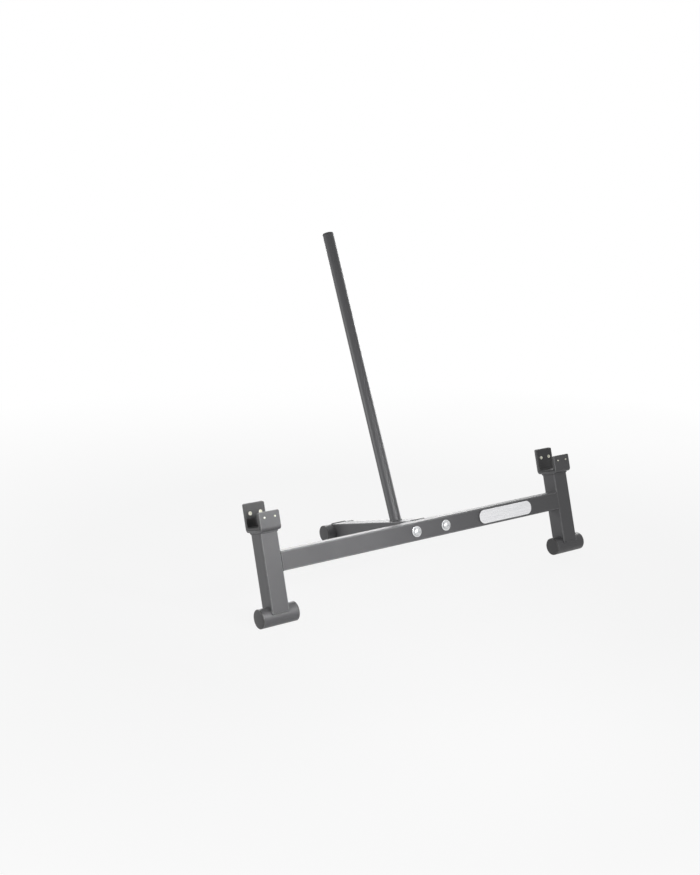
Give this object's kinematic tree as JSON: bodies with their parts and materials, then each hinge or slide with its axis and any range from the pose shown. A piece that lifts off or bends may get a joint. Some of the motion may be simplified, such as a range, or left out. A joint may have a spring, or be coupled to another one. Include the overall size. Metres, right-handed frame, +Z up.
{
  "type": "deadlift jack",
  "caption": "Deadlift jack: square-tube frame with lined U-shaped bar cradles, round capped feet, a bolted rear arm with its own foot, and a tall tube lever.",
  "frame": {"origin": "on the floor, under the middle of the jack's outer box, with the bar raised and all feet down", "axes": "+X along the bar, to the right of someone who faces the jack's front; +Y to the rear, where the lever leans; +Z up"},
  "size_m": [1.1, 0.5696, 0.9207],
  "materials": {
    "powder_coat": "dark grey powder coat, fine texture, satin",
    "cap_plastic": "moulded, satin",
    "liner_plastic": "bent sheet, matte",
    "bright_steel": "bright zinc plating",
    "yellow_zinc": "pale yellow zinc plating",
    "plate_metal": "silver, satin, bare"
  },
  "bodies": {
    "root": {"left_foot_tube": "powder_coat", "left_foot_left_cap": "cap_plastic", "left_foot_right_cap": "cap_plastic", "left_upright": "powder_coat", "left_cradle_bracket": "powder_coat", "left_cradle_liner": "liner_plastic", "left_liner_screw_front_left": "yellow_zinc", "left_liner_screw_front_right": "yellow_zinc", "left_liner_screw_back_left": "yellow_zinc", "left_liner_screw_back_right": "yellow_zinc", "left_frame_bolt": "bright_steel", "left_front_washer": "bright_steel", "left_rear_washer": "bright_steel", "left_lock_nut": "bright_steel", "right_foot_tube": "powder_coat", "right_foot_left_cap": "cap_plastic", "right_foot_right_cap": "cap_plastic", "right_upright": "powder_coat", "right_cradle_bracket": "powder_coat", "right_cradle_liner": "liner_plastic", "right_liner_screw_front_left": "yellow_zinc", "right_liner_screw_front_right": "yellow_zinc", "right_liner_screw_back_left": "yellow_zinc", "right_liner_screw_back_right": "yellow_zinc", "right_frame_bolt": "bright_steel", "right_front_washer": "bright_steel", "right_rear_washer": "bright_steel", "right_lock_nut": "bright_steel", "crossbar": "powder_coat", "name_plate": "plate_metal", "arm_flange": "powder_coat", "arm_tube": "powder_coat", "rear_foot_tube": "powder_coat", "rear_foot_left_cap": "cap_plastic", "rear_foot_right_cap": "cap_plastic", "lever_tube": "powder_coat", "lever_plug": "cap_plastic"}
  },
  "joints": []
}
